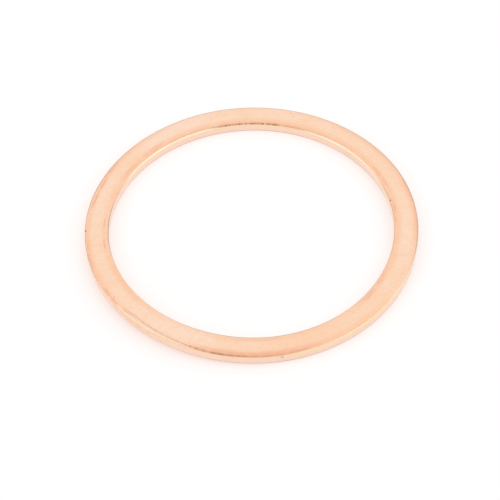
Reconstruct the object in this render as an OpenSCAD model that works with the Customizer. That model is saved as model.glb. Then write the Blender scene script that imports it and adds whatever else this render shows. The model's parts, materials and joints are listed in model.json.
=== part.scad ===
// Copper crush washer: a flat sealing ring stamped from soft copper sheet.
// Millimetres. The ring lies on z = 0 with its axis on Z and its rolled face upwards.

/* [Ring] */
// Inside diameter of the bore wall
bore_d = 36; // [10:0.5:100]
// Width of the ring from the bore wall to the rim wall
ring_w = 3; // [2.4:0.1:8]
// Thickness of the sheet, face to face
sheet_t = 1.5; // [1:0.1:3]

/* [Rolled upper edges] */
// How far the roll at the bore reaches in over the upper face
bore_roll_w = 1.1; // [0.6:0.05:1.8]
// How far the roll at the bore drops below the upper face
bore_roll_d = 0.22; // [0.18:0.01:0.4]
// How far the roll at the rim reaches in over the upper face
rim_roll_w = 0.95; // [0.6:0.05:1.8]
// How far the roll at the rim drops below the upper face
rim_roll_d = 0.19; // [0.18:0.01:0.4]
// Radius of the nose where a roll turns down into its wall
nose_r = 0.1; // [0.06:0.01:0.16]

/* [Sheared walls] */
// Height of the broken, slightly drawn-back part of each wall above the lower face
break_h = 0.45; // [0.2:0.05:0.9]
// How far each wall draws back into the ring over its broken part
break_draw = 0.05; // [0.02:0.01:0.12]
// Small bevel that tumbling leaves on both lower edges in place of the burr
burr_bevel = 0.07; // [0.03:0.01:0.15]

/* [Hidden] */
// Outside diameter over the rim wall
outer_d = bore_d + 2 * ring_w;
rim_r = outer_d / 2;
bore_r = bore_d / 2;
// A roll stops where it would take more than this share of the ring's width
roll_share = 0.44;
bore_roll_reach = min(bore_roll_w, roll_share * ring_w);
rim_roll_reach = min(rim_roll_w, roll_share * ring_w);
// Shortest straight wall that is left between a roll and the broken part
least_land = 0.1;
break_top = min(break_h, sheet_t - max(bore_roll_d, rim_roll_d) - least_land);
// How far the wall still stands back at the upper corner of the bevel
bevel_draw = break_draw * (1 - burr_bevel / break_top);
// Length that carries a cut clear of the blank
clear = 0.5;
$fn = 180;

// Radius of a roll's long arc, which touches the upper face and the nose
function roll_r(w, d) = (pow(w - nose_r, 2) + d * d - nose_r * nose_r) / (2 * (d - nose_r));

// Slope of a roll where its long arc hands over to the nose
function roll_slope(w, d) = asin((w - nose_r) / (roll_r(w, d) - nose_r));

// Section of the blank before its upper edges roll over, as radius and height
module blank() {
    polygon([
        [bore_r + break_draw + burr_bevel, 0],
        [rim_r - break_draw - burr_bevel, 0],
        [rim_r - bevel_draw, burr_bevel],
        [rim_r, break_top],
        [rim_r, sheet_t],
        [bore_r, sheet_t],
        [bore_r, break_top],
        [bore_r + bevel_draw, burr_bevel]
    ]);
}

// What a roll takes off an upper corner at the origin, with the ring on its left
module roll_cut(w, d) {
    slope = roll_slope(w, d);
    handover = [nose_r * (sin(slope) - 1), nose_r * cos(slope) - d];
    difference() {
        polygon([[-w, clear], [-w, 0], handover, [clear, clear]]);
        translate([-w, -roll_r(w, d)]) circle(r = roll_r(w, d));
    }
    difference() {
        polygon([handover, [-nose_r, -d], [clear, -d], [clear, clear]]);
        translate([-nose_r, -d]) circle(r = nose_r);
    }
}

// Finished section of the ring
module section() {
    difference() {
        blank();
        translate([rim_r, sheet_t]) roll_cut(rim_roll_reach, rim_roll_d);
        translate([bore_r, sheet_t]) mirror([1, 0]) roll_cut(bore_roll_reach, bore_roll_d);
    }
}

// The whole washer, one solid of revolution
module washer() {
    color([0.85, 0.52, 0.36]) rotate_extrude() section();
}

washer();
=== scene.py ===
# %% [markdown]
# # Copper crush washer
# A flat ring stamped from soft copper sheet. It is crushed between two flat faces to seal a threaded joint.
# The construction model gives the ring's sizes. This lesson gives it the look of the stamped part: edges
# that rolled over under the die, a sheared wall, a slight spring out of flat and a satin copper finish that
# has begun to tarnish along its edges, with painted shade and painted highlights laid into its colour.

# %% Load the frame
import json
from math import asin, cos, degrees, radians, sin

import bpy
from mathutils import Matrix, Vector


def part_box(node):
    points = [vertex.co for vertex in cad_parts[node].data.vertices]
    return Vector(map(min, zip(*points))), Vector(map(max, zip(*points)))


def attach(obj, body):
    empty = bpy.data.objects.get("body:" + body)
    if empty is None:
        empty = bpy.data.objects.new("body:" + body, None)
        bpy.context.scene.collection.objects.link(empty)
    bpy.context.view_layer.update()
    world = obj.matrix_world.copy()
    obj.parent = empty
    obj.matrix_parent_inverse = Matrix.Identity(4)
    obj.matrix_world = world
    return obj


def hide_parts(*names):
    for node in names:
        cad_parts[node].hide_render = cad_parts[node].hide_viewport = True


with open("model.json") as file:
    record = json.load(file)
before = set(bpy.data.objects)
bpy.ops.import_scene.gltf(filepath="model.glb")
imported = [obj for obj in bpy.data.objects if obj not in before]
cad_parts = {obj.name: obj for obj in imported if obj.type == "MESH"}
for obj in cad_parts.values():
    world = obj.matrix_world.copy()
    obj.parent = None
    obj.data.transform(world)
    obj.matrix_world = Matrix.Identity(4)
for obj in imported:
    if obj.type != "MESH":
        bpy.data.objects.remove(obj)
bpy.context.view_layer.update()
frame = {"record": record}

# %% [markdown]
# ## Sizes
# Every size that the construction model holds is read from it: the bore from its mount, the outside and the
# thickness from the ring's box. The numbers could be typed in again, but then the two models could drift
# apart. The shape of the stamped edge isn't in the frame, so its few sizes are written here, in metres like
# everything else in the scene.

# %% Sizes of the ring
MM = 0.001
ring_low, ring_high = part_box("washer")
bore_mount = next(m for m in frame["record"]["mounts"] if m["name"] == "bore")
bore_radius = bore_mount["dims"]["r_mm"] * MM
rim_radius = ring_high.x
ring_width = rim_radius - bore_radius
sheet = ring_high.z - ring_low.z
print("bore, rim and sheet, mm:", [round(v / MM, 3) for v in (2 * bore_radius, 2 * rim_radius, sheet)])

# %% Sizes of its stamped edge
bore_roll_width = 1.1 * MM
bore_roll_drop = 0.22 * MM
rim_roll_width = 0.95 * MM
rim_roll_drop = 0.19 * MM
nose_radius = 0.1 * MM
break_height = 0.45 * MM
break_draw = 0.05 * MM
burr_bevel = 0.07 * MM
print("straight wall below the bore's roll, mm:", round((sheet - bore_roll_drop - break_height) / MM, 3))


# %% [markdown]
# ## Section of the ring
# A die shears the ring out of sheet. On the side that the punch enters, both edges are dragged down into a
# wide shallow roll that turns into the wall over a small nose. Below it the wall is first sheared smooth and
# then breaks away, leaning back a little. The outline could be drawn by hand as a curve. Working it out from
# the same sizes as the construction model is better, because two tangent arcs need no fiddling.

# %% Runs that make up an outline
def arc(centre, radius, start, end, steps):
    """Points on an arc, angles in degrees from the section's outward axis."""
    turns = [radians(start + (end - start) * i / steps) for i in range(steps + 1)]
    return [(centre[0] + radius * cos(t), centre[1] + radius * sin(t)) for t in turns]


def straight(start, end, steps):
    """Points on a straight run without its last point, which the next run brings."""
    return [tuple(a + (b - a) * i / steps for a, b in zip(start, end)) for i in range(steps)]


# %% One edge of the section
def wall_and_roll(width, drop):
    """The edge from the lower face to the upper one, with its wall at zero and the ring on its left."""
    crown = ((width - nose_radius) ** 2 + drop ** 2 - nose_radius ** 2) / (2 * (drop - nose_radius))
    slope = degrees(asin((width - nose_radius) / (crown - nose_radius)))
    bevel_draw = break_draw * (1 - burr_bevel / break_height)
    nose_centre = (-nose_radius, sheet - drop)
    roll_centre = (-width, sheet - crown)
    edge = straight((-break_draw - burr_bevel, 0), (-bevel_draw, burr_bevel), 2)
    edge += straight((-bevel_draw, burr_bevel), (0, break_height), 4)
    edge += straight((0, break_height), (0, sheet - drop), 4)
    edge += arc(nose_centre, nose_radius, 0, 90 - slope, 8)[:-1]
    edge += arc(roll_centre, crown, 90 - slope, 90, 12)
    return edge


# %% The whole section
rim_edge = [(rim_radius + x, z) for x, z in wall_and_roll(rim_roll_width, rim_roll_drop)]
bore_edge = [(bore_radius - x, z) for x, z in wall_and_roll(bore_roll_width, bore_roll_drop)][::-1]
upper_face = straight(rim_edge[-1], bore_edge[0], 8)[1:]
lower_face = straight(bore_edge[-1], rim_edge[0], 3)[1:]
section = (rim_edge + upper_face + bore_edge + lower_face)[::-1]
print("points round the section:", len(section))

# %% The section as an outline for the sweep
# The sweep takes X as outwards from the bore and Y as down, and the section's order turns its faces outwards
outline = bpy.data.meshes.new("washer_section")
loop = [(i, (i + 1) % len(section)) for i in range(len(section))]
outline.from_pydata([(r - bore_radius, -z, 0) for r, z in section], loop, [])
washer = bpy.data.objects.new("stamped_washer", outline)
bpy.context.scene.collection.objects.link(washer)
print("edges of the outline:", len(outline.edges))


# %% [markdown]
# ## Sweeping the ring
# The section follows a circle, which is a rule, so Geometry Nodes sweep it. A Screw modifier would also do
# it, but the node tree can go on to bend the ring and roughen its edge on the way, with a named input for
# each size. Node trees for geometry and for materials share a few small helpers.

# %% Nodes and their sockets
def add(tree, kind, **settings):
    """Adds a node and sets its properties."""
    node = tree.nodes.new(kind)
    for name, value in settings.items():
        setattr(node, name, value)
    return node


def feed(tree, socket, value):
    """Links an output to a socket, or sets the socket's own value."""
    if isinstance(value, bpy.types.NodeSocket):
        tree.links.new(value, socket)
    else:
        socket.default_value = value


# %% Sums and products
def maths(tree, operation, *values):
    """Adds a Math node and returns its output; a value is a number or another node's output."""
    node = add(tree, "ShaderNodeMath", operation=operation)
    for socket, value in zip(node.inputs, values):
        feed(tree, socket, value)
    return node.outputs[0]


def scaled(tree, value, times, plus=0.0):
    """A value times another, plus a third."""
    return maths(tree, "MULTIPLY_ADD", value, times, plus)


def product(tree, first, *others):
    """Several values multiplied together."""
    for other in others:
        first = maths(tree, "MULTIPLY", first, other)
    return first


# %% Vectors
def vector_maths(tree, operation, *values, output="Vector"):
    """Adds a Vector Math node and returns one of its outputs."""
    node = add(tree, "ShaderNodeVectorMath", operation=operation)
    for socket, value in zip(node.inputs, values):
        feed(tree, socket, value)
    return node.outputs[output]


def vector_of(tree, **parts):
    """A vector from its named parts, the rest zero."""
    node = add(tree, "ShaderNodeCombineXYZ")
    for name, value in parts.items():
        feed(tree, node.inputs[name], value)
    return node.outputs[0]


def length_of(tree, vector):
    """How long a vector is."""
    return vector_maths(tree, "LENGTH", vector, output="Value")


# %% Soft borders and noise
def ramp(tree, value, low, high):
    """Smooth step from 0 at low to 1 at high, which may also be the smaller of the two."""
    node = add(tree, "ShaderNodeMapRange", interpolation_type="SMOOTHSTEP")
    for socket, number in zip(node.inputs, (value, low, high, 0.0, 1.0)):
        feed(tree, socket, number)
    return node.outputs[0]


def cloud(tree, place, scale, detail=2.0):
    """Noise between 0 and 1 with this many features to a unit of length."""
    node = add(tree, "ShaderNodeTexNoise", noise_dimensions="3D")
    feed(tree, node.inputs["Vector"], place)
    node.inputs["Scale"].default_value = scale
    node.inputs["Detail"].default_value = detail
    return node.outputs[0]


# %% Where a point lies on the ring
def ring_place(tree, place):
    """Turn in degrees from the X axis, radius from the ring's axis and height."""
    axes = add(tree, "ShaderNodeSeparateXYZ")
    feed(tree, axes.inputs[0], place)
    angle = maths(tree, "ARCTAN2", axes.outputs["Y"], axes.outputs["X"])
    flat = vector_maths(tree, "MULTIPLY", place, (1, 1, 0))
    return maths(tree, "DEGREES", angle), length_of(tree, flat), axes.outputs["Z"]


def turn_gap(tree, turn, middle):
    """Degrees from a turn, the shorter way round."""
    return maths(tree, "WRAP", maths(tree, "SUBTRACT", turn, float(middle)), 180.0, -180.0)


def stretch(tree, turn, start, end, fade):
    """1 between two turns, fading out over so many degrees beyond each of them."""
    half = (end - start) / 2
    return ramp(tree, maths(tree, "ABSOLUTE", turn_gap(tree, turn, start + half)), half + fade, half)


# %% Inputs of the sweep
sweep = bpy.data.node_groups.new("sweep_washer", "GeometryNodeTree")
size_inputs = {
    "Bore Radius": bore_radius,
    "Sheet": sheet,
    "Nick Depth": 0.04 * MM,
    "Face Wave": 0.01 * MM,
    "Spring Twice": 0.173 * MM,
    "Spring Three": 0.093 * MM,
}
sweep.interface.new_socket("Section", in_out="INPUT", socket_type="NodeSocketGeometry")
for name in size_inputs:
    sweep.interface.new_socket(name, in_out="INPUT", socket_type="NodeSocketFloat")
sweep.interface.new_socket("Finish", in_out="INPUT", socket_type="NodeSocketMaterial")
sweep.interface.new_socket("Ring", in_out="OUTPUT", socket_type="NodeSocketGeometry")
given = add(sweep, "NodeGroupInput").outputs
result = add(sweep, "NodeGroupOutput")
print("sizes that the sweep takes:", ", ".join(size_inputs))

# %% Sweep the section round the bore
steps_round = 1200
circle = add(sweep, "GeometryNodeCurvePrimitiveCircle", mode="RADIUS")
circle.inputs["Resolution"].default_value = steps_round
feed(sweep, circle.inputs["Radius"], given["Bore Radius"])
profile = add(sweep, "GeometryNodeMeshToCurve")
feed(sweep, profile.inputs["Mesh"], given["Section"])
swept = add(sweep, "GeometryNodeCurveToMesh")
feed(sweep, swept.inputs["Curve"], circle.outputs["Curve"])
feed(sweep, swept.inputs["Profile Curve"], profile.outputs["Curve"])
place = add(sweep, "GeometryNodeInputPosition").outputs[0]
turn, radius, height = ring_place(sweep, place)
print("faces to come:", steps_round * len(section))

# %% [markdown]
# The finish has to tell the walls from the rolled face after the ring is bent, so each point keeps its share
# of the sheet's thickness as an attribute. A material could compare heights instead, but the bend would
# then shift its borders.

# %% Keep each point's share of the thickness
kept = add(sweep, "GeometryNodeStoreNamedAttribute", data_type="FLOAT", domain="POINT")
feed(sweep, kept.inputs["Geometry"], swept.outputs["Mesh"])
kept.inputs["Name"].default_value = "rise"
feed(sweep, kept.inputs["Value"], maths(sweep, "DIVIDE", height, given["Sheet"]))
print("attribute kept on each point:", kept.inputs["Name"].default_value)

# %% [markdown]
# The punch tore the upper edge of the bore into short nicks along the back of the ring. Noise decides where
# the nose gives way, so no two nicks are alike. Cutting each one with a boolean would give the same marks
# with far more work.

# %% Where the torn edge gives way
nick_start, nick_end, nick_fade = 79, 103, 5
dashes_per_degree, depths_per_degree = 1.1, 0.45


def broken_edge(tree, turn):
    """Up to 1 where the torn edge gives way, in dashes of uneven length and depth."""
    dashes = ramp(tree, cloud(tree, vector_of(tree, X=turn), dashes_per_degree, 4.0), 0.36, 0.54)
    aside = vector_of(tree, X=turn, Y=7.0)
    depth = ramp(tree, cloud(tree, aside, depths_per_degree, 2.0), 0.32, 0.6)
    return product(tree, dashes, scaled(tree, depth, 0.5, 0.5))


# %% Nicks along the back of the bore's nose
nick_reach, nick_full = 0.48 * MM, 0.22 * MM
from_bore = maths(sweep, "SUBTRACT", radius, given["Bore Radius"])
below_face = maths(sweep, "SUBTRACT", given["Sheet"], height)
edge_gap = length_of(sweep, vector_of(sweep, X=from_bore, Y=below_face))
on_nose = ramp(sweep, edge_gap, nick_reach, nick_full)
torn = stretch(sweep, turn, nick_start, nick_end, nick_fade)
nick_depth = product(sweep, on_nose, broken_edge(sweep, turn), torn, given["Nick Depth"])
print("nicks from turn", nick_start, "to", nick_end, "at most mm deep:", size_inputs["Nick Depth"] / MM)

# %% [markdown]
# Soft copper rarely stays flat. This ring has sprung by a quarter of a millimetre at most, as two waves that
# run twice and three times round its turn, and its face keeps the faint wave of rolled sheet. A lattice could
# bend it too, but two sines say exactly how far it is out.

# %% Spring out of flat and wave of the sheet
waves_per_metre = 480
spring_parts = []
for size, count, phase in (("Spring Twice", 2.0, 13.9), ("Spring Three", 3.0, 117.3)):
    angle = scaled(sweep, maths(sweep, "RADIANS", turn), count, radians(phase))
    spring_parts.append(maths(sweep, "MULTIPLY", maths(sweep, "SINE", angle), given[size]))
spring = maths(sweep, "ADD", *spring_parts)
wave = maths(sweep, "SUBTRACT", cloud(sweep, place, waves_per_metre), 0.5)
wave = maths(sweep, "MULTIPLY", wave, given["Face Wave"])
lift = maths(sweep, "ADD", spring, maths(sweep, "SUBTRACT", wave, nick_depth))
sprung = add(sweep, "GeometryNodeSetPosition")
feed(sweep, sprung.inputs["Geometry"], kept.outputs["Geometry"])
feed(sweep, sprung.inputs["Offset"], vector_of(sweep, Z=lift))
print("waves of the spring:", len(spring_parts))

# %% [markdown]
# The spring reaches below zero as well as above it. The ring is lifted until its lowest point lies at height
# zero, where the construction model has its underside. The object could be moved instead, but the export
# puts every object at the origin, so the mesh itself has to lie in the right place.

# %% Set the ring down so that its lowest point lies at height zero
reach = add(sweep, "GeometryNodeBoundBox")
feed(sweep, reach.inputs["Geometry"], sprung.outputs["Geometry"])
lowest = add(sweep, "ShaderNodeSeparateXYZ")
feed(sweep, lowest.inputs[0], reach.outputs["Min"])
raised = maths(sweep, "MULTIPLY", lowest.outputs["Z"], -1.0)
rested = add(sweep, "GeometryNodeTransform")
feed(sweep, rested.inputs["Geometry"], sprung.outputs["Geometry"])
feed(sweep, rested.inputs["Translation"], vector_of(sweep, Z=raised))
print("nodes up to the setting down:", len(sweep.nodes))

# %% [markdown]
# The real ring has no facets, so the mesh is shaded smooth. Only the bevel at its foot has corners that catch
# the light, and those edges stay sharp. Splitting the mesh there would look the same, but would open it.

# %% Shade it smooth, with the corners of the bevel sharp
sharp_from = radians(25)
smooth = add(sweep, "GeometryNodeSetShadeSmooth")
feed(sweep, smooth.inputs["Geometry"], rested.outputs["Geometry"])
bend = add(sweep, "GeometryNodeInputMeshEdgeAngle").outputs["Unsigned Angle"]
creased = add(sweep, "GeometryNodeSetShadeSmooth", domain="EDGE")
feed(sweep, creased.inputs["Geometry"], smooth.outputs["Geometry"])
feed(sweep, creased.inputs["Selection"], maths(sweep, "GREATER_THAN", bend, sharp_from))
creased.inputs["Shade Smooth"].default_value = False
print("edges stay sharp from a bend of degrees:", round(degrees(sharp_from)))

# %% End of the sweep
realized = add(sweep, "GeometryNodeRealizeInstances")
feed(sweep, realized.inputs["Geometry"], creased.outputs["Geometry"])
painted = add(sweep, "GeometryNodeSetMaterial")
feed(sweep, painted.inputs["Geometry"], realized.outputs["Geometry"])
feed(sweep, painted.inputs["Material"], given["Finish"])
feed(sweep, result.inputs["Ring"], painted.outputs["Geometry"])
print("nodes in the sweep:", len(sweep.nodes))

# %% [markdown]
# ## Copper
# Clean annealed copper is a pale orange mirror with a satin haze. Here it is lightest along the middle of the
# face, with yellower stretches, and a deeper orange on the rolled edges, where tarnish and painted shade lie.
# A picture could be painted on, but layers laid out by turn and radius stay sharp at any size and follow the
# ring.

# %% Start of the copper finish
copper = bpy.data.materials.new("satin_copper")
copper.use_nodes = True
tree = copper.node_tree
tree.nodes.clear()
metal = add(tree, "ShaderNodeBsdfPrincipled")
surface = add(tree, "ShaderNodeOutputMaterial")
feed(tree, surface.inputs["Surface"], metal.outputs[0])
metal.inputs["Metallic"].default_value = 1.0
print("finish:", copper.name)

# %% Where a point of the finish lies
spot = add(tree, "ShaderNodeTexCoord").outputs["Object"]
turn, radius, _ = ring_place(tree, spot)
rise = add(tree, "ShaderNodeAttribute", attribute_name="rise").outputs["Fac"]
from_bore = maths(tree, "SUBTRACT", radius, bore_radius)
from_rim = maths(tree, "SUBTRACT", rim_radius, radius)
across = maths(tree, "DIVIDE", from_bore, ring_width)
wall_top = 1 - bore_roll_drop / sheet
upper = ramp(tree, rise, wall_top - 0.05, wall_top)
print("share of the thickness where the rolled face begins:", round(wall_top, 3))


# %% Layers of colour
def tinted(tree, below, colour, amount):
    """Lays a colour over what is below it, by an amount between 0 and 1."""
    mix = add(tree, "ShaderNodeMix", data_type="RGBA")
    colours = [socket for socket in mix.inputs if socket.type == "RGBA"]
    feed(tree, mix.inputs[0], amount)
    feed(tree, colours[0], below)
    feed(tree, colours[1], (*colour, 1))
    return next(socket for socket in mix.outputs if socket.type == "RGBA")


# %% Face
pale_copper = (1.0, 0.74, 0.575)
yellow_copper = (1.0, 0.672, 0.46)
yellow_fade = 16
broad_per_metre, fine_per_metre = 300, 1300
yellower = (
    # from turn, to turn, change towards yellow
    (20, 40, 0.12),
    (112, 128, -0.50),
    (172, 190, -0.12),
    (203, 220, 0.10),
    (232, 248, -0.45),
    (266, 278, 0.20),
    (290, 314, 0.30),
    (352, 368, -0.15),
)
drift = scaled(tree, ramp(tree, cloud(tree, spot, broad_per_metre, 3.0), 0.3, 0.7), 0.5, 0.3)
for start, end, change in yellower:
    drift = scaled(tree, stretch(tree, turn, start, end, yellow_fade), change, drift)
fine = scaled(tree, cloud(tree, spot, fine_per_metre, 4.0), 0.9, -0.45)
colour = tinted(tree, (*pale_copper, 1), yellow_copper, maths(tree, "ADD", drift, fine))
print("yellower or paler stretches of the face:", len(yellower))

# %% [markdown]
# Tarnish and painted shade darken the two rolls, as a deeper orange where each rolled edge turns down from
# the face. They are not even: weak at the back of the rim, along most of the front of the bore and on a few
# shorter stretches. Noise alone would put these fainter stretches anywhere, so each is written with its
# turns, its fade and its amount.

# %% Tarnish and painted shade on the rolls
deep_copper = (1.0, 0.61, 0.405)
patches_per_metre = 560
rim_fainter = ((84, 102, 45, 0.95), (324, 340, 14, 0.75), (214, 244, 12, 0.6))
bore_fainter = ((236, 308, 20, 0.6), (170, 190, 12, 0.4))
rolls = (
    # distance from the edge, where the tarnish and painted shade begin, where they are full, their fainter
    # stretches
    (from_rim, 1.05 * MM, 0.3 * MM, rim_fainter),
    (from_bore, 1.25 * MM, 0.4 * MM, bore_fainter),
)
tarnish_and_shade = 0.0
for gap, begins, full, fainter in rolls:
    clean = 0.0
    for start, end, fade, amount in fainter:
        clean = scaled(tree, stretch(tree, turn, start, end, fade), amount, clean)
    band = product(tree, ramp(tree, gap, begins, full), maths(tree, "SUBTRACT", 1.0, clean))
    tarnish_and_shade = maths(tree, "MAXIMUM", tarnish_and_shade, band)
# tarnish and painted shade on the rolls, deeper where each roll turns down from the face
patchy = scaled(tree, ramp(tree, cloud(tree, spot, patches_per_metre, 3.0), 0.25, 0.6), 0.35, 0.65)
colour = tinted(tree, colour, deep_copper, product(tree, tarnish_and_shade, patchy))
print("clean stretches of the rolls:", len(rim_fainter) + len(bore_fainter))

# %% [markdown]
# The front of the rim is a darker orange that deepens towards its edge: painted shade where the roll turns
# down from the face, with some tarnish. Even colour would look like a painted stripe. Noise that is stretched
# along the ring breaks it into streaks instead.

# %% Painted shade and tarnish on the front of the rim
front_shade_copper = (0.92, 0.47, 0.295)
front_shade_start, front_shade_end, front_shade_fade = 259, 284, 14
streaks_per_degree, streak_width = 0.3, 0.24 * MM
front_shade_begins, front_shade_full = 1.1 * MM, 0.1 * MM
along = vector_of(tree, X=maths(tree, "MULTIPLY", turn, streaks_per_degree),
                  Y=maths(tree, "DIVIDE", radius, streak_width))
streak = ramp(tree, cloud(tree, along, 1.0, 3.0), 0.3, 0.62)
front_shade = stretch(tree, turn, front_shade_start, front_shade_end, front_shade_fade)
front_shade = product(tree, front_shade, ramp(tree, from_rim, front_shade_begins, front_shade_full))
front_shade = product(tree, front_shade, scaled(tree, streak, 0.8, 0.25))
# painted shade of the front roll, with some tarnish, deepening towards the rim
colour = tinted(tree, colour, front_shade_copper, front_shade)
print("scorched from turn", front_shade_start, "to", front_shade_end)

# %% [markdown]
# A few stains lie where the ring was handled. Each is an oval on the ring with a ragged border: its turn,
# its place across the ring from 0 at the bore to 1 at the rim, how far it reaches along and across, and
# how dark it is. Separate decals would need geometry of their own, while ovals worked out in the material
# need none.

# %% Ragged ovals
rags_per_metre = 2200
ragged = scaled(tree, cloud(tree, spot, rags_per_metre, 3.0), 1.6, -0.8)
oval_border, oval_full = 1.2, 0.4


def marked(tree, marks):
    """Greatest darkness of a list of marks at this point."""
    deepest = 0.0
    for at_turn, at_across, reach_along, reach_across, darkness in marks:
        gap_along = maths(tree, "DIVIDE", turn_gap(tree, turn, at_turn), reach_along)
        gap_across = maths(tree, "DIVIDE", maths(tree, "SUBTRACT", across, at_across), reach_across)
        gap = length_of(tree, vector_of(tree, X=gap_along, Y=gap_across))
        cover = ramp(tree, maths(tree, "ADD", gap, ragged), oval_border, oval_full)
        deepest = maths(tree, "MAXIMUM", deepest, maths(tree, "MULTIPLY", cover, darkness))
    return deepest


# %% Stains
stained_copper = (0.92, 0.49, 0.315)
stains = (
    # turn, place across, reach along in degrees, reach across, darkness
    (150, 0.88, 5.0, 0.07, 0.60),
    (157, 0.81, 3.6, 0.06, 0.90),
    (164, 0.81, 3.8, 0.05, 1.00),
    (168, 0.84, 2.2, 0.07, 0.55),
    (188, 0.89, 3.5, 0.07, 0.40),
    (195, 0.93, 4.5, 0.06, 0.60),
    (210.5, 0.92, 2.8, 0.09, 0.75),
    (215, 0.95, 2.4, 0.08, 0.80),
    (222, 0.89, 2.6, 0.08, 0.55),
    (15, 0.93, 8.0, 0.07, 0.65),
    (0, 0.93, 9.0, 0.06, 0.45),
    (28, 0.16, 3.6, 0.05, 0.70),
    (21, 0.17, 4.0, 0.05, 0.55),
    (7, 0.11, 5.0, 0.07, 0.60),
    (1, 0.07, 2.0, 0.05, 0.55),
    (329, 0.13, 4.5, 0.10, 0.40),
    (320, 0.16, 5.0, 0.12, 0.50),
    (178, 0.19, 4.0, 0.04, 0.75),
    (188, 0.21, 3.6, 0.05, 0.75),
    (132, 0.22, 6.0, 0.12, 0.45),
    (146, 0.19, 5.5, 0.10, 0.40),
    (271, 0.17, 13, 0.09, 0.30),
    (270, 0.91, 9, 0.07, 0.60),
)
colour = tinted(tree, colour, stained_copper, marked(tree, stains))
print("stains:", len(stains))

# %% [markdown]
# A thin grime lies over everything in small cloudy patches. It could be one more list of marks, but grime has
# no places of its own, so noise with fine detail is enough.

# %% Grime
grime_amount, grime_per_metre = 0.16, 1900
grime = ramp(tree, cloud(tree, spot, grime_per_metre, 5.0), 0.46, 0.68)
colour = tinted(tree, colour, stained_copper, maths(tree, "MULTIPLY", grime, grime_amount))
print("grime covers at most:", grime_amount)

# %% [markdown]
# Small pits show where the sheet was struck. Modelling them would take a far finer mesh for a few specks.
# They are small dark ovals like the stains instead, and the bump of the finish presses them in.

# %% Small pits
pit_copper = (0.42, 0.22, 0.14)
pits = (
    # turn, place across, reach along in degrees, reach across, darkness
    (74.0, 0.78, 0.4, 0.04, 0.4),
    (72.5, 0.63, 0.4, 0.04, 0.3),
    (180.7, 0.975, 0.45, 0.04, 1.0),
    (11.3, 0.03, 0.45, 0.04, 0.9),
    (214, 0.82, 0.4, 0.04, 0.3),
)
pitted = marked(tree, pits)
colour = tinted(tree, colour, pit_copper, pitted)
print("pits:", len(pits))

# %% [markdown]
# A hair line of painted shade follows the rim's nose round the back and the bore's nose round the front, with
# a short piece at the left of the bore: the dark edge where each nose turns away from the front. It could be
# a thin wire of geometry, but the distance from the edge is known everywhere in the material, so a narrow
# ramp draws it.

# %% Hair line of painted shade
edge_shade_copper = (0.54, 0.38, 0.31)
hair_begins, hair_full = 0.2 * MM, 0.09 * MM
hair_fade, middle_fade = 14, 24
hair_lines = (
    # distance from the edge, whole stretch of turn, its darker middle, darkness and what the middle adds
    (from_rim, (-8, 164), (24, 146), 0.45, 0.4),
    (from_bore, (176, 186), (178, 184), 0.3, 0.2),
    (from_bore, (238, 346), (258, 290), 0.3, 0.5),
)
for gap, whole, middle, faint, more in hair_lines:
    amount = scaled(tree, stretch(tree, turn, *middle, middle_fade), more, faint)
    hair = product(tree, ramp(tree, gap, hair_begins, hair_full), stretch(tree, turn, *whole, hair_fade))
    # painted shade along the noses that turn away from the front
    colour = tinted(tree, colour, edge_shade_copper, product(tree, hair, amount, upper))
print("hair lines:", len(hair_lines))

# %% [markdown]
# A thin dark brown line follows the rim's nose along the front: painted shade where the face rounds over into
# the wall, with some tarnish. At the left it leaves the nose and runs in over the roll, so its place across
# the ring is worked out from the turn. A curve laid on the face would be more work, and it would have to be
# bent with the ring.

# %% Brown line of painted shade and tarnish along the front
# brown of the painted shade line along the front, and of the real spot on the rim wall
brown = (0.52, 0.27, 0.15)
line_start, line_end, line_fade = 223, 326, 6
at_start, at_nose, drift_out = 0.815, 0.98, 0.005
line_border, line_full = 0.055, 0.015
line_place = scaled(tree, turn_gap(tree, turn, line_start), drift_out, at_start)
line_place = maths(tree, "MINIMUM", line_place, at_nose)
line_gap = maths(tree, "ABSOLUTE", maths(tree, "SUBTRACT", across, line_place))
line = product(tree, ramp(tree, line_gap, line_border, line_full),
               stretch(tree, turn, line_start + line_fade / 2, line_end - line_fade, line_fade))
print("brown line from turn", line_start, "to", line_end)

# %% Where the line is strong and where it breaks up
faint_line, darkest_adds, left_adds = 0.22, 0.44, 0.14
darkest_start, darkest_end, darkest_fade = 251, 264, 7
left_end, left_fade = 284, 8
breaks_per_degree = 0.45
darkest = stretch(tree, turn, darkest_start, darkest_end, darkest_fade)
left = stretch(tree, turn, line_start, left_end, left_fade)
strong = scaled(tree, left, left_adds, scaled(tree, darkest, darkest_adds, faint_line))
broken_up = ramp(tree, cloud(tree, vector_of(tree, X=turn), breaks_per_degree, 4.0), 0.38, 0.58)
line = product(tree, line, strong, scaled(tree, broken_up, 0.65, 0.35), upper)
# painted shade along the front nose, with some tarnish
colour = tinted(tree, colour, brown, line)
print("brown line at its darkest:", round(faint_line + darkest_adds + left_adds, 2))

# %% [markdown]
# The nicks along the back of the bore are painted dark brown as the shade in them, and a weaker row of
# painted shade goes on to both sides. The painted shade uses the same noise as the nicks, so both lie
# together. Marks with places of their own would miss them. A faint painted shade on the roll behind the nose
# goes with it.

# %% Painted shade in the nicks
nick_shade_brown = (0.48, 0.24, 0.115)
nick_shade_start, nick_shade_end, nick_shade_fade = 58, 122, 8
shade_start, shade_end, shade_fade = 48, 134, 10
shade_amount, side_amount = 0.12, 0.4
# painted shade on the roll just behind the bore's nose
shade = ramp(tree, from_bore, 0.42 * MM, 0.2 * MM)
shade = product(tree, shade, ramp(tree, from_bore, 0.06 * MM, 0.16 * MM))
shade = product(tree, shade, stretch(tree, turn, shade_start, shade_end, shade_fade))
shade = product(tree, shade, upper, shade_amount)
colour = tinted(tree, colour, nick_shade_brown, shade)
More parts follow.
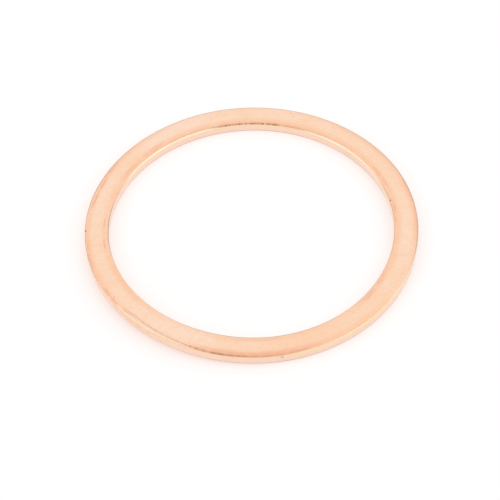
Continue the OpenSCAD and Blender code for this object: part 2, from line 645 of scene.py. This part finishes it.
# painted shade in the nicks and along the nose beside them
torn = stretch(tree, turn, nick_shade_start, nick_shade_end, nick_shade_fade)
torn = maths(tree, "MULTIPLY", torn, side_amount)
torn = maths(tree, "MAXIMUM", torn, stretch(tree, turn, nick_start, nick_end, nick_fade))
lip = product(tree, upper, ramp(tree, from_bore, 0.22 * MM, 0.12 * MM))
in_the_nicks = scaled(tree, broken_edge(tree, turn), 0.85, 0.15)
colour = tinted(tree, colour, nick_shade_brown, product(tree, torn, lip, in_the_nicks))
print("dirt from turn", nick_shade_start, "to", nick_shade_end)

# %% [markdown]
# Below the nose the wall was burnished by the punch. Lower down, where the metal broke, it is duller, and its
# pinker colour is a painted reflection of the warm floor beside it. Its foot is painted dark as the shade
# where it meets the floor. Three materials on separate faces would leave hard borders, so one material blends
# them by the share of the thickness that each point kept.

# %% Walls
burnished_copper = (1.0, 0.705, 0.515)
broken_and_reflected_copper = (1.0, 0.67, 0.58)
foot_shade_copper = (0.43, 0.35, 0.32)
break_share = break_height / sheet
bevel_share = burr_bevel / sheet
border_sways = 0.06
on_wall = maths(tree, "SUBTRACT", 1.0, upper)
colour = tinted(tree, colour, burnished_copper, on_wall)
broken = ramp(tree, scaled(tree, ragged, border_sways, rise), break_share + 0.12, break_share - 0.1)
# duller broken metal, pinker as a painted reflection of the warm floor
colour = tinted(tree, colour, broken_and_reflected_copper, broken)
# painted shade at the foot, where the wall meets the floor
colour = tinted(tree, colour, foot_shade_copper, ramp(tree, rise, bevel_share + 0.08, bevel_share))
print("share of the thickness that broke:", round(break_share, 3))

# %% [markdown]
# The left of the rim's wall was handled and has darker blotches, and its front has one brown spot. The walls
# have no place across the ring, so the spot is measured by its turn and its share of the thickness instead.

# %% Handled rim wall and its spot
handled_amount, spot_amount = 0.7, 0.6
handled_start, handled_end, handled_fade = 202, 232, 10
blotches_per_metre = 1400
handled = ramp(tree, cloud(tree, spot, blotches_per_metre, 3.0), 0.38, 0.6)
handled = product(tree, handled, stretch(tree, turn, handled_start, handled_end, handled_fade), on_wall)
handled = product(tree, handled, ramp(tree, from_rim, 0.4 * MM, 0.2 * MM), handled_amount)
colour = tinted(tree, colour, deep_copper, handled)
spot_turn, spot_rise = 279.1, 0.62
spot_along, spot_up = 0.6, 0.13
spot_gap = vector_of(tree, X=maths(tree, "DIVIDE", turn_gap(tree, turn, spot_turn), spot_along),
                     Y=maths(tree, "DIVIDE", maths(tree, "SUBTRACT", rise, spot_rise), spot_up))
wall_spot = ramp(tree, length_of(tree, spot_gap), oval_border, oval_full)
wall_spot = product(tree, wall_spot, ramp(tree, from_rim, 0.2 * MM, 0.1 * MM), on_wall, spot_amount)
colour = tinted(tree, colour, brown, wall_spot)
print("brown spot of the rim wall at turn", spot_turn)

# %% [markdown]
# Just below the nose the wall carries a painted highlight, at both sides of the bore's back and at the right
# of the rim's front. A smoother finish there would only mirror the plain floor more sharply, so the highlight
# is painted as a lighter colour.

# %% Painted highlight at the top of the walls
highlight_copper = (1.0, 0.87, 0.66)
yellow_highlight = (1.0, 0.77, 0.49)
near_edge = (0.4 * MM, 0.2 * MM)
bore_left, bore_right, rim_right = (108, 148), (26, 62), (286, 332)
highlight_fade = 8
below_nose = ramp(tree, rise, wall_top + 0.08, wall_top + 0.02)
bore_lip = product(tree, ramp(tree, rise, wall_top - 0.16, wall_top - 0.08), below_nose)
bore_highlight = maths(tree, "ADD", stretch(tree, turn, *bore_left, highlight_fade),
                    stretch(tree, turn, *bore_right, highlight_fade))
bore_highlight = product(tree, bore_highlight, ramp(tree, from_bore, *near_edge))
# painted highlight on the bore's wall just below the nose
colour = tinted(tree, colour, highlight_copper, product(tree, bore_lip, bore_highlight))
rim_lip = product(tree, ramp(tree, rise, 0.5, 0.76), below_nose)
rim_highlight = product(tree, stretch(tree, turn, *rim_right, highlight_fade), ramp(tree, from_rim, *near_edge))
# painted yellow highlight on the rim's wall at the front right
colour = tinted(tree, colour, yellow_highlight, product(tree, rim_lip, rim_highlight))
feed(tree, metal.inputs["Base Color"], colour)
print("nodes in the layers of colour:", len(tree.nodes))

# %% [markdown]
# Annealed copper has a satin haze and a fine grain. Both are smaller than a face of the mesh. A far finer
# mesh could hold the grain, but it would add nothing that can be seen, so the roughness and a very shallow
# bump make them.

# %% Haze and fine grain
smoothest, haze_adds = 0.24, 0.1
haze_per_metre, grain_per_metre = 1050, 3000
grain_strength, grain_depth = 0.5, 0.007 * MM
haze = ramp(tree, cloud(tree, spot, haze_per_metre, 4.0), 0.3, 0.7)
feed(tree, metal.inputs["Roughness"], scaled(tree, haze, haze_adds, smoothest))
grain = maths(tree, "SUBTRACT", cloud(tree, spot, grain_per_metre, 3.0), pitted)
bump = add(tree, "ShaderNodeBump")
bump.inputs["Strength"].default_value = grain_strength
bump.inputs["Distance"].default_value = grain_depth
feed(tree, bump.inputs["Height"], grain)
feed(tree, metal.inputs["Normal"], bump.outputs[0])
print("nodes in the copper finish:", len(tree.nodes))

# %% [markdown]
# ## Making the ring
# The modifier takes its sizes by the identifiers of its sockets, since two sockets could share a name. Then
# the swept ring is copied as a plain mesh. Applying the modifier by hand would do the same, but a copy of the
# evaluated object needs no open window.

# %% Make the ring
modifier = washer.modifiers.new("sweep", "NODES")
modifier.node_group = sweep
sockets = {s.name: s.identifier for s in sweep.interface.items_tree if s.in_out == "INPUT"}
for name, value in size_inputs.items():
    modifier[sockets[name]] = value
modifier[sockets["Finish"]] = copper
evaluated = washer.evaluated_get(bpy.context.evaluated_depsgraph_get())
ring = bpy.data.meshes.new_from_object(evaluated)
washer.modifiers.remove(modifier)
washer.data = ring
print("triangles:", 2 * len(ring.polygons))

# %% Measure the ring
low = Vector(map(min, zip(*(v.co for v in ring.vertices))))
high = Vector(map(max, zip(*(v.co for v in ring.vertices))))
print("ring from", [round(v / MM, 3) for v in low], "to", [round(v / MM, 3) for v in high])
volume = sum(p.center.dot(p.normal) * p.area for p in ring.polygons) / 3
print("volume, mm3:", round(volume / MM ** 3, 1))
edge_faces = {}
for polygon in ring.polygons:
    for key in polygon.edge_keys:
        edge_faces[key] = edge_faces.get(key, 0) + 1
print("edges without two faces:", sum(count != 2 for count in edge_faces.values()))

# %% Hand the ring to the frame
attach(washer, "root")
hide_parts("washer")
print(washer.name, "replaces the solid of the construction model")

# %% [markdown]
# ## Floor and light
# A sprung ring rests on three points of its underside, so it leans a little against its floor. The ring stays
# in the construction model's frame, and the floor leans instead: it rises to the right and to the back until
# it touches the ring there. Turning the ring would give the same picture, but its mesh would no longer lie
# on the construction model.

# %% Floor
floor_half = 3.0
rise_right, rise_back = 0.00572, 0.00826
floor_level = min(v.co.z - rise_right * v.co.x - rise_back * v.co.y for v in ring.vertices)
corners = [(x, y, floor_level + rise_right * x + rise_back * y)
           for x, y in ((-floor_half, -floor_half), (floor_half, -floor_half),
                        (floor_half, floor_half), (-floor_half, floor_half))]
floor_mesh = bpy.data.meshes.new("floor")
floor_mesh.from_pydata(corners, [], [(0, 1, 2, 3)])
floor = bpy.data.objects.new("floor", floor_mesh)
bpy.context.scene.collection.objects.link(floor)
print("floor under the middle of the ring, mm:", round(floor_level / MM, 3))

# %% [markdown]
# The floor is plain white paper. To the camera, most of its red, half of its green and two fifths of its
# blue are its own, and the rest is lit. So its shadow is pale and takes the warm tone that copper throws
# on paper. A shadow catcher over white could do that too, but it would need a second layer. The metal
# mirrors the floor as clean white, and all other light meets plain matt paper.

# %% Shaders of the paper
paper = bpy.data.materials.new("white_floor")
paper.use_nodes = True
tree = paper.node_tree
tree.nodes.clear()


def floor_part(kind, colour):
    """A plain shader of one colour."""
    node = add(tree, kind)
    node.inputs["Color"].default_value = (*colour, 1)
    return node.outputs[0]


def floor_pair(kind, first, second, amount=None):
    """Adds two shaders up, or goes from the first to the second by an amount."""
    node = add(tree, kind)
    parts = [socket for socket in node.inputs if socket.type == "SHADER"]
    feed(tree, parts[0], first)
    feed(tree, parts[1], second)
    if amount:
        feed(tree, node.inputs[0], amount)
    return node.outputs[0]


# %% White paper
own_share = (0.866, 0.519, 0.409)
lit_share = (0.14, 0.45, 0.55)
matt_white = (0.95, 0.95, 0.95)
clean_white = (1, 1, 1)
rays = add(tree, "ShaderNodeLightPath").outputs
mirrored = maths(tree, "MAXIMUM", rays["Is Glossy Ray"], rays["Is Transmission Ray"])
matt = floor_part("ShaderNodeBsdfDiffuse", matt_white)
clean = floor_part("ShaderNodeEmission", clean_white)
seen = floor_pair("ShaderNodeAddShader", floor_part("ShaderNodeEmission", own_share),
                  floor_part("ShaderNodeBsdfDiffuse", lit_share))
unseen = floor_pair("ShaderNodeMixShader", matt, clean, mirrored)
surface = add(tree, "ShaderNodeOutputMaterial")
whole_floor = floor_pair("ShaderNodeMixShader", unseen, seen, rays["Is Camera Ray"])
feed(tree, surface.inputs["Surface"], whole_floor)
floor_mesh.materials.append(paper)
print("nodes in the paper:", len(tree.nodes))

# %% [markdown]
# Metal shows what surrounds it. The room is a dim dome with eight soft panels. A wide one behind the ring is
# what its face mirrors. Strong ones at the right and at the left throw the shadows, with a high and a low one
# in front to fill them. Faint low ones at both sides light the noses, and the last one, low at the front
# right, keeps the face bright when it is seen from behind. Area lamps would do the same, but a panel of the
# dome fades out at its border and is never in the way.

# %% Panels of the studio
dome_level = 0.12
panels = (
    # azimuth and elevation in degrees, where it is full and where it ends, level that it adds
    (90, 45, 30, 55, 0.86),
    (345, 40, 15, 40, 1.25),
    (195, 40, 15, 40, 1.38),
    (290, 62, 15, 40, 0.62),
    (262, 28, 20, 50, 0.48),
    (0, 8, 20, 40, 0.40),
    (180, 8, 20, 40, 0.22),
    (315, 14, 14, 36, 0.38),
)
print("panels in the studio:", len(panels))

# %% Studio
world = bpy.data.worlds.new("studio")
bpy.context.scene.world = world
world.use_nodes = True
tree = world.node_tree
tree.nodes.clear()
way = add(tree, "ShaderNodeTexCoord").outputs["Generated"]
level = dome_level
for azimuth, elevation, full, end, adds in panels:
    flat = cos(radians(elevation))
    towards = (flat * cos(radians(azimuth)), flat * sin(radians(azimuth)), sin(radians(elevation)))
    facing = vector_maths(tree, "DOT_PRODUCT", way, towards, output="Value")
    panel = ramp(tree, facing, cos(radians(end)), cos(radians(full)))
    level = scaled(tree, panel, adds, level)
print("nodes for the panels:", len(tree.nodes))

# %% White background for the camera
rays = add(tree, "ShaderNodeLightPath")
strength = add(tree, "ShaderNodeMix", data_type="FLOAT")
feed(tree, strength.inputs[0], rays.outputs["Is Camera Ray"])
feed(tree, strength.inputs[2], level)
feed(tree, strength.inputs[3], 1.0)
sky = add(tree, "ShaderNodeBackground")
sky.inputs["Color"].default_value = (1, 1, 1, 1)
feed(tree, sky.inputs["Strength"], strength.outputs[0])
surface = add(tree, "ShaderNodeOutputWorld")
feed(tree, surface.inputs["Surface"], sky.outputs[0])
print("nodes in the studio:", len(tree.nodes))

# %% [markdown]
# ## Camera
# A long lens looks down at the ring from the front. Its place, its aim and its roll were found by fitting the
# ring's outlines, which is surer than turning a camera by eye. The picture's width in pixels only turns the
# fitted focal length into millimetres.

# %% Lens
frame_pixels = 500
focal_pixels = 2050
view = bpy.data.cameras.new("photo_view")
view.sensor_width = 36
view.lens = focal_pixels / frame_pixels * view.sensor_width
camera = bpy.data.objects.new("photo_view", view)
bpy.context.scene.collection.objects.link(camera)
bpy.context.scene.camera = camera
bpy.context.scene.view_settings.view_transform = "Standard"
print("focal length, mm:", round(view.lens, 1))

# %% Place of the camera, measured from the middle of the sprung underside
camera_distance = 259.5 * MM
camera_elevation = radians(48.38)
camera_roll = radians(-1.5)
aim = Vector((-0.241 * MM, -2.91 * MM, 0))
rises = [item.value for item in ring.attributes["rise"].data]
foot_heights = [v.co.z - rise_here * sheet for v, rise_here in zip(ring.vertices, rises)]
ring_middle = Vector((0, 0, sum(foot_heights) / len(foot_heights)))
place = camera_distance * Vector((0, -cos(camera_elevation), sin(camera_elevation)))
look = (aim - place).to_track_quat("-Z", "Y").to_matrix().to_4x4()
pose = Matrix.Translation(place) @ look @ Matrix.Rotation(camera_roll, 4, "Z")
camera.matrix_world = Matrix.Translation(ring_middle) @ pose
print("camera at, mm:", [round(v / MM, 1) for v in camera.matrix_world.translation])
